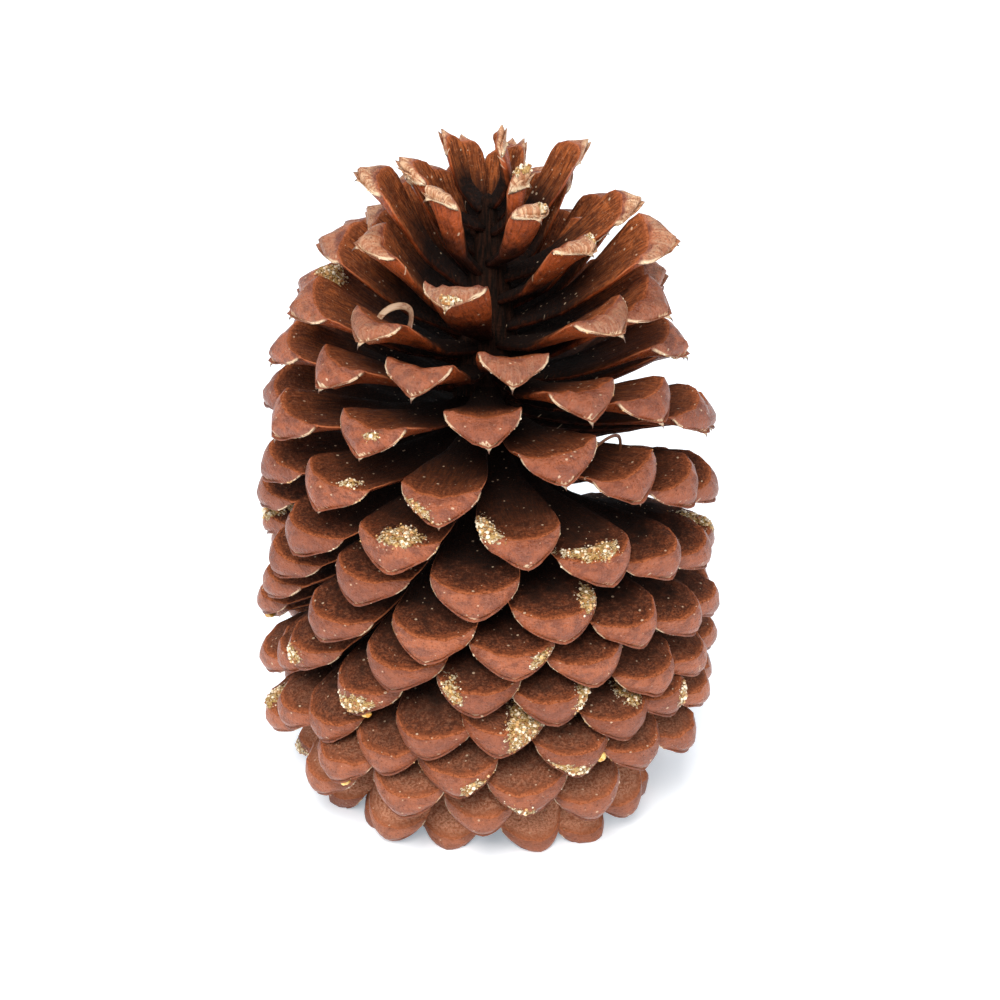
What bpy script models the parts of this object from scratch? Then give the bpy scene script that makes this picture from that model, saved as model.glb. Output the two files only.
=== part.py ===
"""A Jeffrey pine cone, ripe and open, standing on its lowest scales.

The cone grew as one woody piece: an axis, and about two hundred scales that
leave it one after another along a single spiral. Each scale is turned by the
golden angle from the one before it, so the eye sees 8, 13 and 21 rows that
wind round the cone. Scales are numbered from the tip down, and everything
about a scale follows from its number. Lengths are in millimetres until they
reach the mesh, +Z is up, and the front of the cone looks along -Y.
"""

import math

import bmesh
import bpy
import numpy as np

MM = 0.001

# The spiral: how many scales there are, and which one points straight ahead
SCALE_COUNT = 195
FRONT_SCALE = 83
GOLDEN_ANGLE = 137.508

# How the scales change from the tip to the base, at chosen scale numbers.
# The tip of a scale is the point of its shield, where the prickle sits.
SCALE_NUMBER = (0, 5, 13, 25, 38, 58, 83, 103, 123, 143, 163, 179, 198)
ROOT_HEIGHT = (172, 165, 152, 139, 130, 117, 102, 90, 78, 66, 54, 44.5, 33)
TIP_HEIGHT = (191, 184.5, 177, 166, 146, 120, 87.5, 66.5, 49, 37, 22, -0.8, -0.8)
TIP_RADIUS = (8, 20, 30.5, 41.5, 49.5, 58, 60, 60, 59, 59.5, 59.5, 46, 38)
WIDTH = (7, 8.5, 11.5, 15.5, 18, 21, 21.5, 21.5, 21.5, 22, 22, 18, 13)
NECK_SHARE = (0.75, 0.75, 0.72, 0.68, 0.6, 0.55, 0.5, 0.48, 0.46, 0.46, 0.46, 0.46, 0.46)
CORNER_LIFT = (1, 1.2, 1.5, 2, 2, 1.5, 0, -1, -1.5, -1.5, -1.5, -1.5, -1)
CORNER_SETBACK = (3.5, 4, 4.5, 4.5, 4.5, 5.5, 7.5, 8, 8, 8, 8, 7, 5)
KEEL_SETBACK = (1.1, 1.2, 1.6, 2.1, 1.8, 1.4, 1.2, 1.2, 1.2, 1.2, 1.2, 1, 0.8)
KEEL_SINK = (0, 0, 0, 0, 0.3, 0.6, 0.8, 0.8, 0.8, 0.8, 0.8, 0.6, 0.4)
SHIELD_DROP = (3, 4, 5, 6.5, 8, 9, 9, 8.5, 8.5, 8.5, 8.5, 7, 5)
SPIRAL_TWIST = (-12.4, -12.4, -12.3, -11.5, -8.7, -4.9, -2.7, 0.2, 1.4, 0.7, -0.2, -0.8, -1.4)

# Scales that fell out of the cone
LOST_SCALES = (2, 7, 15, 20, 23, 193)

# Scales that sit out of line: how much further out, and how much higher,
# their tips are than the rule says
OUT_OF_LINE = {
    0: (-2.5, -1),
    1: (3, -3.5),
    3: (1, -7),
    4: (5, -4),
    5: (-9, -3),
    6: (0, -4),
    8: (4, 0),
    9: (-3, -2),
    11: (0, -3),
    12: (-10, 0),
    13: (6, -5),
    14: (-4, -5),
    16: (-4, -4),
    17: (-3, 6),
    18: (-2, -3),
    19: (0, -3),
    21: (-8, -9),
    22: (-3, -9),
    24: (0, -4),
    25: (-6, 0),
    26: (5, 3),
    28: (0, 2),
    30: (-2, -2),
    31: (3, -2),
    33: (0, -4),
    34: (-3, -3),
    36: (0, -4),
    39: (0, 9),
    42: (-3, -2),
    44: (0, -4),
    46: (-3, 0),
    47: (-3, 0),
    54: (0, 1.5),
    55: (-5, 0),
    62: (0, -2),
    70: (0, -3),
    78: (2, -2),
    88: (0, 4),
    104: (0, 4),
    112: (0, 5),
    114: (0, -3),
    117: (0, 4),
    125: (0, 6),
    130: (0, -3),
    135: (0, -6),
    138: (0, 4),
    141: (0, 4),
    143: (0, -3),
    164: (0, 2.5),
    172: (0, 6),
    177: (-3, 0),
    180: (-3, 0),
    185: (-5, 0),
    188: (3, -1.5),
}

# Scales that have twisted as they dried, in degrees at their tips
TWISTED = {
    4: -15,
    8: 20,
    9: -20,
    13: 32,
    17: -20,
    22: -18,
    25: -20,
    26: 32,
    30: -18,
    31: 10,
    34: 25,
    38: -12,
    39: 15,
}

# The woody axis, from its base to its tip
AXIS_HEIGHT = (22, 32, 70, 120, 146, 174)
AXIS_RADIUS = (5, 9.5, 10.5, 9, 6, 1.5)
AXIS_SIDES = 6

# One scale, from its root inside the axis to the shield at its outer end.
# Along is a share of the scale's length, and width a share of its full width.
ROOT_DEPTH = 0.5
ROOT_WIDTH = 4.8
ROOT_THICKNESS = 2.6
BLADE_THICKNESS = 2.8
SHOULDER_SHARE = 0.75
SHOULDER_DROP = 0.45
SHOULDER_SETBACK = 0.85
SAG = 2.0
NECK_ALONG = 0.42
WAIST_ALONG = 0.70
WAIST_SHARE = 0.86
WAIST_LIFT = 0.6
WAIST_SWELL = 0.45
KEEL_SHARE = 0.46
KEEL_LIFT = 0.12
SHIELD_LEAN = 1.5
SHIELD_FOOT = 0.95

# Nature's unevenness: millimetres, degrees, and a share of the width
UNEVEN_RADIUS = 1.2
UNEVEN_HEIGHT = 1.0
UNEVEN_TURN = 1.6
UNEVEN_ROLL = 5.0
UNEVEN_WIDTH = 0.05

# Steps whose multiples spread evenly, which stand in for random draws
EVEN_STEP = 0.7548776662
EVEN_STREAM = 0.5698402910

# The ground that wears the lowest tips flat
GROUND_SIDE = 200.0
GROUND_DEPTH = 20.0

WOOD_COLOUR = (0.145, 0.048, 0.022, 1.0)
WOOD_ROUGHNESS = 0.5


def clear_scene():
    for thing in list(bpy.data.objects):
        bpy.data.objects.remove(thing, do_unlink=True)


def cone_wood():
    """The reddish brown, faintly satin wood of the ripe cone."""
    material = bpy.data.materials.new("cone_wood")
    material.use_nodes = True
    shader = material.node_tree.nodes["Principled BSDF"]
    shader.inputs["Base Color"].default_value = WOOD_COLOUR
    shader.inputs["Roughness"].default_value = WOOD_ROUGHNESS
    return material


def along_cone(values, number):
    """The value for one scale, between those given at SCALE_NUMBER."""
    return float(np.interp(number, SCALE_NUMBER, values))


def uneven(number, stream):
    """A value from -1 to 1 for one scale, the same on every run."""
    return 2.0 * ((number * EVEN_STEP + stream * EVEN_STREAM) % 1.0) - 1.0


class Scale:
    """Where one scale starts, ends and turns, and how big it is."""

    def __init__(self, number):
        further, higher = OUT_OF_LINE.get(number, (0, 0))
        turn = (number - FRONT_SCALE) * GOLDEN_ANGLE + along_cone(SPIRAL_TWIST, number)
        self.azimuth = math.radians(turn + UNEVEN_TURN * uneven(number, 1))
        self.root_height = along_cone(ROOT_HEIGHT, number)
        self.root_radius = ROOT_DEPTH * float(np.interp(self.root_height, AXIS_HEIGHT, AXIS_RADIUS))
        tip_radius = along_cone(TIP_RADIUS, number) + further + UNEVEN_RADIUS * uneven(number, 2)
        tip_height = along_cone(TIP_HEIGHT, number) + higher + UNEVEN_HEIGHT * uneven(number, 3)
        run = tip_radius - self.root_radius
        rise = tip_height - self.root_height
        self.slope = math.atan2(rise, run)
        self.length = math.hypot(run, rise) - SHIELD_LEAN
        self.width = along_cone(WIDTH, number) * (1.0 + UNEVEN_WIDTH * uneven(number, 4))
        self.roll = math.radians(UNEVEN_ROLL * uneven(number, 5) + TWISTED.get(number, 0))
        self.neck_share = along_cone(NECK_SHARE, number)
        self.lift = along_cone(CORNER_LIFT, number)
        self.setback = along_cone(CORNER_SETBACK, number)
        self.keel_setback = along_cone(KEEL_SETBACK, number)
        self.keel_sink = along_cone(KEEL_SINK, number)
        self.drop = along_cone(SHIELD_DROP, number)

    def point(self, side, along, up):
        """A point of the scale in metres, from side and up in millimetres and along as a share.

        The straight line from root to tip is the scale's base line. The blade
        rises above it towards its outer end, where the shield hangs down to it.
        """
        roll = self.roll * along
        across = side * math.cos(roll) - up * math.sin(roll)
        above = up + side * math.sin(roll) + self.drop * min(along, 1.0)
        above -= 4.0 * SAG * along * (1.0 - along)
        run = self.length * along
        radius = self.root_radius + run * math.cos(self.slope) - above * math.sin(self.slope)
        height = self.root_height + run * math.sin(self.slope) + above * math.cos(self.slope)
        x = radius * math.sin(self.azimuth) + across * math.cos(self.azimuth)
        y = across * math.sin(self.azimuth) - radius * math.cos(self.azimuth)
        return x * MM, y * MM, height * MM


def root_ring():
    half, up = ROOT_WIDTH / 2, ROOT_THICKNESS / 2
    return [(-half, 0.0, up), (half, 0.0, up), (half, 0.0, -up), (-half, 0.0, -up)]


def neck_ring(scale):
    half = scale.neck_share * scale.width / 2
    return [
        (-half, NECK_ALONG, 0.0),
        (half, NECK_ALONG, 0.0),
        (half, NECK_ALONG, -BLADE_THICKNESS),
        (-half, NECK_ALONG, -BLADE_THICKNESS),
    ]


def waist_ring(scale):
    """The blade just behind its shield, thicker in the middle of its underside."""
    half = WAIST_SHARE * scale.width / 2
    lift = WAIST_LIFT * scale.lift
    return [
        (-half, WAIST_ALONG, lift),
        (0.0, WAIST_ALONG, 0.0),
        (half, WAIST_ALONG, lift),
        (half, WAIST_ALONG, lift - BLADE_THICKNESS),
        (0.0, WAIST_ALONG, -WAIST_SWELL * scale.drop),
        (-half, WAIST_ALONG, lift - BLADE_THICKNESS),
    ]


def rim_ring(scale):
    """The rim of the shield: corner, keel, corner, then the rounded lower edge back again."""
    half = scale.width / 2
    corner = 1.0 - scale.setback / scale.length
    keel = 1.0 - scale.keel_setback / scale.length
    keel_height = KEEL_LIFT * scale.lift - scale.keel_sink
    shoulder = 1.0 - SHOULDER_SETBACK * scale.setback / scale.length
    return [
        (-half, corner, scale.lift),
        (-KEEL_SHARE * half, keel, keel_height),
        (KEEL_SHARE * half, keel, keel_height),
        (half, corner, scale.lift),
        (SHOULDER_SHARE * half, shoulder, -SHOULDER_DROP * scale.drop),
        (0.0, 1.0, -SHIELD_FOOT * scale.drop),
        (-SHOULDER_SHARE * half, shoulder, -SHOULDER_DROP * scale.drop),
    ]


def bands(root, neck, waist, rim, tip):
    """The faces of a scale, from the cap on its root to the shield round its tip."""
    faces = [root[::-1]]
    for i in range(4):
        j = (i + 1) % 4
        faces.append((root[i], root[j], neck[j], neck[i]))
    faces += [
        (neck[0], neck[1], waist[1]),
        (neck[0], waist[1], waist[0]),
        (neck[1], waist[2], waist[1]),
        (neck[1], neck[2], waist[3], waist[2]),
        (neck[2], neck[3], waist[4]),
        (neck[2], waist[4], waist[3]),
        (neck[3], waist[5], waist[4]),
        (neck[3], neck[0], waist[0], waist[5]),
        (waist[0], rim[1], rim[0]),
        (waist[0], waist[1], rim[1]),
        (waist[1], rim[2], rim[1]),
        (waist[1], waist[2], rim[2]),
        (waist[2], rim[3], rim[2]),
        (waist[2], waist[3], rim[4], rim[3]),
        (waist[3], waist[4], rim[5], rim[4]),
        (waist[4], waist[5], rim[6], rim[5]),
        (waist[5], waist[0], rim[0], rim[6]),
    ]
    for i in range(7):
        faces.append((rim[i], rim[(i + 1) % 7], tip))
    return faces


def scale_mesh(scale):
    """One closed scale."""
    mesh = bmesh.new()
    rings = []
    for ring in (root_ring(), neck_ring(scale), waist_ring(scale), rim_ring(scale)):
        rings.append([mesh.verts.new(scale.point(*place)) for place in ring])
    tip = mesh.verts.new(scale.point(0.0, 1.0 + SHIELD_LEAN / scale.length, -scale.drop))
    for corners in bands(*rings, tip):
        mesh.faces.new(corners)
    bmesh.ops.recalc_face_normals(mesh, faces=mesh.faces)
    bmesh.ops.triangulate(mesh, faces=mesh.faces)
    return mesh


def axis_mesh():
    """The woody axis: a closed spindle of a few sides, hidden among the scales."""
    mesh = bmesh.new()
    rings = []
    for height, radius in zip(AXIS_HEIGHT, AXIS_RADIUS):
        ring = []
        for k in range(AXIS_SIDES):
            turn = 2.0 * math.pi * k / AXIS_SIDES
            place = (radius * math.cos(turn) * MM, radius * math.sin(turn) * MM, height * MM)
            ring.append(mesh.verts.new(place))
        rings.append(ring)
    for lower, upper in zip(rings, rings[1:]):
        for k in range(AXIS_SIDES):
            j = (k + 1) % AXIS_SIDES
            mesh.faces.new((lower[k], lower[j], upper[j], upper[k]))
    mesh.faces.new(rings[0][::-1])
    mesh.faces.new(rings[-1])
    return mesh


def object_from(mesh, name, collection):
    data = bpy.data.meshes.new(name)
    mesh.to_mesh(data)
    mesh.free()
    thing = bpy.data.objects.new(name, data)
    collection.objects.link(thing)
    return thing


def apply_boolean(thing, operation, operand, other):
    """Joins to a thing, or cuts from it, an object or all the objects of a collection."""
    modifier = thing.modifiers.new(operation, "BOOLEAN")
    modifier.operation = operation
    modifier.solver = "EXACT"
    modifier.operand_type = operand
    setattr(modifier, operand.lower(), other)
    bpy.context.view_layer.update()
    evaluated = thing.evaluated_get(bpy.context.evaluated_depsgraph_get())
    result = bpy.data.meshes.new_from_object(evaluated)
    thing.modifiers.clear()
    thing.data = result


def grow_scales(cone):
    """Fuses every scale to the axis with one union."""
    scales = bpy.data.collections.new("scales")
    bpy.context.scene.collection.children.link(scales)
    for number in range(SCALE_COUNT):
        if number not in LOST_SCALES:
            object_from(scale_mesh(Scale(number)), f"scale_{number:03d}", scales)
    apply_boolean(cone, "UNION", "COLLECTION", scales)
    for thing in list(scales.objects):
        bpy.data.objects.remove(thing, do_unlink=True)
    bpy.data.collections.remove(scales)


def flatten_feet(cone):
    """Wears the tips that meet the ground down to small flat spots at height zero."""
    mesh = bmesh.new()
    bmesh.ops.create_cube(mesh, size=1.0)
    for vertex in mesh.verts:
        vertex.co.x *= GROUND_SIDE * MM
        vertex.co.y *= GROUND_SIDE * MM
        vertex.co.z = (vertex.co.z - 0.5) * GROUND_DEPTH * MM
    ground = object_from(mesh, "ground", bpy.context.scene.collection)
    apply_boolean(cone, "DIFFERENCE", "OBJECT", ground)
    bpy.data.objects.remove(ground, do_unlink=True)


def main():
    clear_scene()
    cone = object_from(axis_mesh(), "cone", bpy.context.scene.collection)
    grow_scales(cone)
    flatten_feet(cone)
    cone.data.name = "cone"
    cone.data.materials.clear()
    cone.data.materials.append(cone_wood())


main()
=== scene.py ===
# %% [markdown]
# A ripe Jeffrey pine cone, dressed around its CAD model.
# The CAD model gives the cone's place and size, and this scene grows the same spiral again
# with smooth scales, prickles, dried resin and wood finishes. Everything is in metres in the
# CAD model's own frame: +Z is up along the woody axis, and the front looks along -Y.

# %% Load the frame
import math

import bmesh
import bpy
import numpy as np
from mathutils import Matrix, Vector


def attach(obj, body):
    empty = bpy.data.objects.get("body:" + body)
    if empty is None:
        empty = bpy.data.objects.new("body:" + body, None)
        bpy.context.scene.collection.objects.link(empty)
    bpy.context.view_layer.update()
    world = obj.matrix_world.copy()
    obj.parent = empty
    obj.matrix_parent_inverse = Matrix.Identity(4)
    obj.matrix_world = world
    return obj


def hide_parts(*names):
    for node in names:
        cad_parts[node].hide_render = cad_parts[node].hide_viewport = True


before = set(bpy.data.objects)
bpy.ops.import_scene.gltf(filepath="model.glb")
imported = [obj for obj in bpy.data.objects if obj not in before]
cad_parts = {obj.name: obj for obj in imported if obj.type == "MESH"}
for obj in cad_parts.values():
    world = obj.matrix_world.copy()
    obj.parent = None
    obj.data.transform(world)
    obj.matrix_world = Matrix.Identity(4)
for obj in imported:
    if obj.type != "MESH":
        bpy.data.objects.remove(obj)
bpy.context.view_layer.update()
MM = 0.001


def in_scene(name, data):
    """A new object in the scene that shows the data."""
    thing = bpy.data.objects.new(name, data)
    bpy.context.scene.collection.objects.link(thing)
    return thing


# %% [markdown]
# The camera stands where the photographer stood. The rows of scales follow the golden angle,
# so their places in the picture gave the camera's height above the table: about 32 degrees.
# A long lens from three quarters of a metre away keeps the cone's sides nearly parallel.

# %% The camera
VIEW_HEIGHT = math.radians(31.9)
VIEW_DISTANCE = 0.762
VIEW_TARGET = Vector((0.0, 0.0, 0.066))

camera_data = bpy.data.cameras.new("camera")
camera_data.lens = 101.45
camera_data.sensor_width = 36.0
camera_data.shift_x = 0.0118
camera_data.shift_y = 0.0638
camera = in_scene("camera", camera_data)
direction = Vector((0.0, -math.cos(VIEW_HEIGHT), math.sin(VIEW_HEIGHT)))
camera.location = VIEW_TARGET + VIEW_DISTANCE * direction
camera.rotation_euler = (-direction).to_track_quat("-Z", "Y").to_euler()
bpy.context.scene.camera = camera
print("camera at", tuple(round(value, 3) for value in camera.location))

# %% [markdown]
# A pine cone is one spiral. Each scale is turned by the golden angle from the one before it,
# and everything about it follows from its number, counted from the tip down. The table
# repeats the CAD source's values, so that every smooth scale lies over its CAD scale. Only
# the youngest scales are a little narrower here, and the keels sit slightly further out.

# %% The spiral and its scales
SCALE_COUNT = 195
FRONT_SCALE = 83
GOLDEN_ANGLE = 137.508
SCALE_NUMBER = (0, 5, 13, 25, 38, 58, 83, 103, 123, 143, 163, 179, 198)
ROOT_HEIGHT = (172, 165, 152, 139, 130, 117, 102, 90, 78, 66, 54, 44.5, 33)
TIP_HEIGHT = (191, 184.5, 177, 166, 146, 120, 87.5, 66.5, 49, 37, 22, -0.8, -0.8)
TIP_RADIUS = (8, 20, 30.5, 41.5, 49.5, 58, 60, 60, 59, 59.5, 59.5, 46, 38)
WIDTH = (6, 7.4, 11.2, 15.5, 18, 21, 21.5, 21.5, 21.5, 22, 22, 18, 13)
NECK_SHARE = (0.75, 0.75, 0.72, 0.68, 0.6, 0.55, 0.5, 0.48, 0.46, 0.46, 0.46, 0.46, 0.46)
CORNER_LIFT = (1, 1.2, 1.5, 2, 2, 1.5, 0, -1, -1.5, -1.5, -1.5, -1.5, -1)
CORNER_SETBACK = (3.5, 4, 4.5, 4.5, 4.5, 5.5, 7.5, 8, 8, 8, 8, 7, 5)
KEEL_SETBACK = (-1.2, -1.0, 0.3, 1.8, 1.5, 0.8, 0.4, 0.4, 0.4, 0.4, 0.4, 0.4, 0.4)
KEEL_SINK = (0, 0, 0, 0, 0.4, 0.8, 1, 1, 1, 1, 1, 0.8, 0.5)
SHIELD_DROP = (3, 4, 5, 6.5, 8, 9, 9, 8.5, 8.5, 8.5, 8.5, 7, 5)
SHAPES = {
    "neck_share": NECK_SHARE,
    "lift": CORNER_LIFT,
    "setback": CORNER_SETBACK,
    "keel_setback": KEEL_SETBACK,
    "keel_sink": KEEL_SINK,
    "drop": SHIELD_DROP,
}
SPIRAL_TWIST = (-12.4, -12.4, -12.3, -11.5, -8.7, -4.9, -2.7, 0.2, 1.4, 0.7, -0.2, -0.8, -1.4)
LOST_SCALES = (2, 7, 15, 20, 23, 193)
OUT_OF_LINE = {
    0: (-2.5, -1), 1: (3, -3.5), 3: (1, -7), 4: (5, -4), 5: (-9, -3), 6: (0, -4), 8: (4, 0),
    9: (-3, -2), 11: (0, -3), 12: (-10, 0), 13: (6, -5), 14: (-4, -5), 16: (-4, -4), 17: (-3, 6),
    18: (-2, -3), 19: (0, -3), 21: (-8, -9), 22: (-3, -9), 24: (0, -4), 25: (-6, 0), 26: (5, 3),
    28: (0, 2), 30: (-2, -2), 31: (3, -2), 33: (0, -4), 34: (-3, -3), 36: (0, -4), 39: (0, 9),
    42: (-3, -2), 44: (0, -4), 46: (-3, 0), 47: (-3, 0), 54: (0, 1.5), 55: (-5, 0), 62: (0, -2),
    70: (0, -3), 78: (2, -2), 88: (0, 4), 104: (0, 4), 112: (0, 5), 114: (0, -3), 117: (0, 4),
    125: (0, 6), 130: (0, -3), 135: (0, -6), 138: (0, 4), 141: (0, 4), 143: (0, -3),
    164: (0, 2.5), 172: (0, 6), 177: (-3, 0), 180: (-3, 0), 185: (-5, 0), 188: (3, -1.5),
}
TWISTED = {
    4: -15, 8: 20, 9: -20, 13: 32, 17: -20, 22: -18, 25: -20, 26: 32, 30: -18, 31: 10, 34: 25,
    38: -12, 39: 15,
}
AXIS_HEIGHT = (22, 32, 70, 120, 146, 174)
AXIS_RADIUS = (5, 9.5, 10.5, 9, 6, 1.5)
ROOT_DEPTH = 0.5
SHIELD_LEAN = 1.5
UNEVEN_RADIUS = 1.2
UNEVEN_HEIGHT = 1.0
UNEVEN_TURN = 1.6
UNEVEN_ROLL = 5.0
UNEVEN_WIDTH = 0.05
EVEN_STEP = 0.7548776662
EVEN_STREAM = 0.5698402910


def along_cone(values, number):
    """The value for one scale, between those given at SCALE_NUMBER."""
    return float(np.interp(number, SCALE_NUMBER, values))


def uneven(number, stream):
    """A value from -1 to 1 for one scale, the same on every run."""
    return 2.0 * ((number * EVEN_STEP + stream * EVEN_STREAM) % 1.0) - 1.0


def scale_row(number):
    """Everything that the node tree needs to know about one scale, by name, in millimetres."""
    further, higher = OUT_OF_LINE.get(number, (0, 0))
    turn = (number - FRONT_SCALE) * GOLDEN_ANGLE + along_cone(SPIRAL_TWIST, number)
    root_height = along_cone(ROOT_HEIGHT, number)
    root_radius = ROOT_DEPTH * float(np.interp(root_height, AXIS_HEIGHT, AXIS_RADIUS))
    tip_radius = along_cone(TIP_RADIUS, number) + further + UNEVEN_RADIUS * uneven(number, 2)
    tip_height = along_cone(TIP_HEIGHT, number) + higher + UNEVEN_HEIGHT * uneven(number, 3)
    run = tip_radius - root_radius
    rise = tip_height - root_height
    return {
        "number": number,
        "azimuth": math.radians(turn + UNEVEN_TURN * uneven(number, 1)),
        "root_height": root_height,
        "root_radius": root_radius,
        "slope": math.atan2(rise, run),
        "length": math.hypot(run, rise) - SHIELD_LEAN,
        "half_width": 0.5 * along_cone(WIDTH, number) * (1.0 + UNEVEN_WIDTH * uneven(number, 4)),
        "roll": math.radians(UNEVEN_ROLL * uneven(number, 5) + TWISTED.get(number, 0)),
        **{name: along_cone(values, number) for name, values in SHAPES.items()},
    }


rows = [scale_row(number) for number in range(SCALE_COUNT) if number not in LOST_SCALES]
print(len(rows), "scales, the longest", round(max(row["length"] for row in rows), 1), "mm")

# %% [markdown]
# Some things about a scale are only for its looks: how far its point leans to one side,
# how long its prickle is, how pale and how ragged it is, and where dried resin has crusted
# it. They are kept beside the values above. A crust is an oval patch given by its middle and
# its reach: across as a share of the half width, and along as a station, where 0 is the
# root, 1 the keel, 2 the foot of the prickle and 3 its tip.

# %% What only the eye sees
PRICKLE_LENGTH = (1.0, 1.2, 1.7, 2.2, 2.2, 1.5, 0.6, 0.5, 0.5, 0.5, 0.5, 0.4, 0.4)
PALENESS = (0.0, 0.0, 0.0, 0.0, 0.1, 0.25, 0.35, 0.4, 0.5, 0.6, 0.75, 1.0, 1.0)
UMBO_REACH = (-1.5, -1.0, 0.5, 1.5, 1.5, 1.5, 1.5, 1.5, 1.5, 1.5, 1.5, 1.5, 1.5)
RAGGED = (0.3, 0.4, 0.8, 0.9, 0.8, 0.8, 0.8, 0.9, 1.0, 1.0, 1.0, 0.8, 0.6)
FRESH = (1.0, 1.0, 1.0, 0.9, 0.7, 0.3, 0.0, 0.0, 0.0, 0.0, 0.0, 0.0, 0.0)
POINT_LEAN = 1.3
CRUSTS = {
    5: (0.0, 1.3, 0.7, 0.6), 10: (0.3, 1.6, 0.6, 0.4), 18: (0.4, 1.6, 0.5, 0.4),
    28: (0.1, 1.9, 0.8, 0.2), 43: (-0.2, 0.93, 0.6, 0.10), 54: (0.3, 1.35, 0.3, 0.2),
    62: (-0.6, 1.7, 0.5, 0.35), 67: (0.5, 0.95, 0.3, 0.05), 70: (-0.85, 1.05, 0.35, 0.30),
    75: (0.15, 0.95, 0.6, 0.13), 78: (-0.2, 0.94, 0.9, 0.07), 91: (0.75, 1.1, 0.3, 0.30),
    104: (0.65, 1.4, 0.35, 0.35), 114: (0.0, 1.4, 0.4, 0.4), 117: (-0.6, 1.3, 0.35, 0.45),
    122: (0.1, 1.55, 0.7, 0.45), 125: (0.7, 1.3, 0.3, 0.5), 133: (0.45, 0.88, 0.4, 0.12),
    138: (0.5, 1.25, 0.5, 0.75), 141: (0.4, 1.4, 0.5, 0.4), 146: (-0.3, 1.7, 0.8, 0.35),
    151: (0.5, 1.6, 0.5, 0.35), 159: (-0.3, 1.8, 0.8, 0.25), 161: (-0.2, 1.0, 0.4, 0.2),
    174: (0.2, 1.5, 0.7, 0.4),
}
DROPS = {
    119: (1.5, -1.2, 1.5), 122: (2.2, -0.6, 1.3), 135: (-2.5, 0.2, 1.3), 146: (5.5, 2.4, 1.6),
    154: (-2.0, 0.0, 1.1), 156: (3.0, -0.4, 1.4),
}
CRUST_VALUES = ("crust_side", "crust_station", "crust_across", "crust_along")
NO_CRUST = (0.0, -5.0, 0.5, 0.5)
BACK_CRUSTED = 0.66


def crust_of(number, azimuth):
    """A scale's crust: as seen at the front, and by an even-handed rule at the back."""
    if number in CRUSTS:
        return CRUSTS[number]
    if number > 40 and math.cos(azimuth) < 0.0 and uneven(number * number, 9) > BACK_CRUSTED:
        return (0.7 * uneven(number, 10), 1.3 + 0.4 * uneven(number, 11), 0.45, 0.35)
    return NO_CRUST


for row in rows:
    number = row["number"]
    row["prickle"] = along_cone(PRICKLE_LENGTH, number) * (1.0 + 0.25 * uneven(number, 6))
    row["pale"] = along_cone(PALENESS, number)
    row["ragged"] = along_cone(RAGGED, number)
    row["umbo_reach"] = along_cone(UMBO_REACH, number)
    row["fresh"] = along_cone(FRESH, number)
    row["lean"] = POINT_LEAN * uneven(number, 7)
    row["tone"] = uneven(number, 8)
    row.update(zip(CRUST_VALUES, crust_of(number, row["azimuth"])))
print(sum(row["crust_station"] > 0.0 for row in rows), "scales carry a crust of resin")

# %% [markdown]
# Node trees are easier to read as formulas. This helper wraps one output of a node, and
# Python's own plus and times then add Math nodes behind the scenes. It serves the geometry
# trees and the materials alike, because both use the same Math node.


# %% Formulas made of nodes
class Wire:
    """A number that flows through a node tree."""

    def __init__(self, tree, socket):
        self.tree = tree
        self.socket = socket

    def through(self, operation, *others, clamp=False):
        node = self.tree.nodes.new("ShaderNodeMath")
        node.operation = operation
        node.use_clamp = clamp
        for slot, value in zip(node.inputs, (self, *others)):
            plug(self.tree, value, slot)
        return Wire(self.tree, node.outputs[0])

    def __add__(self, other):
        return self.through("ADD", other)

    def __sub__(self, other):
        return self.through("SUBTRACT", other)

    def __rsub__(self, other):
        return self.through("MULTIPLY_ADD", -1.0, other)

    def __mul__(self, other):
        return self.through("MULTIPLY", other)

    def __truediv__(self, other):
        return self.through("DIVIDE", other)

    def __pow__(self, other):
        return self.through("POWER", other)

    def __abs__(self):
        return self.through("ABSOLUTE")

    __radd__ = __add__
    __rmul__ = __mul__

    def clamped(self):
        return self.through("ADD", 0.0, clamp=True)

    def at_least(self, other):
        return self.through("MAXIMUM", other)

    def sine(self):
        return self.through("SINE")

    def cosine(self):
        return self.through("COSINE")

    def sign(self):
        return self.through("SIGN")

    def between(self, low, high):
        """0 below low and 1 above high, with a smooth rise between them."""
        node = self.tree.nodes.new("ShaderNodeMapRange")
        node.interpolation_type = "SMOOTHSTEP"
        plug(self.tree, self, node.inputs["Value"])
        plug(self.tree, low, node.inputs["From Min"])
        plug(self.tree, high, node.inputs["From Max"])
        return Wire(self.tree, node.outputs["Result"])

    def towards(self, other, share):
        """This number, moved towards another by a share of the way."""
        return self + share * (other - self)


def plug(tree, value, slot):
    """Feeds a slot from a wire, from another node's socket, or with a plain value or colour."""
    if isinstance(value, Wire):
        tree.links.new(value.socket, slot)
    elif isinstance(value, bpy.types.NodeSocket):
        tree.links.new(value, slot)
    elif slot.type == "RGBA":
        slot.default_value = (*value, 1.0)
    else:
        slot.default_value = value


def apart(tree, vector):
    """The three numbers of a vector socket."""
    node = tree.nodes.new("ShaderNodeSeparateXYZ")
    tree.links.new(vector, node.inputs[0])
    return [Wire(tree, socket) for socket in node.outputs]


def together(tree, x, y, z):
    """A vector socket from three numbers."""
    node = tree.nodes.new("ShaderNodeCombineXYZ")
    for slot, value in zip(node.inputs, (x, y, z)):
        plug(tree, value, slot)
    return node.outputs[0]


def noise(tree, vector, scale, detail=2.0, roughness=0.5):
    """A smooth noise from 0 to 1 at a vector."""
    node = tree.nodes.new("ShaderNodeTexNoise")
    plug(tree, vector, node.inputs["Vector"])
    plug(tree, scale, node.inputs["Scale"])
    node.inputs["Detail"].default_value = detail
    node.inputs["Roughness"].default_value = roughness
    return Wire(tree, node.outputs["Fac"])


print("formula helpers ready")

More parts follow.
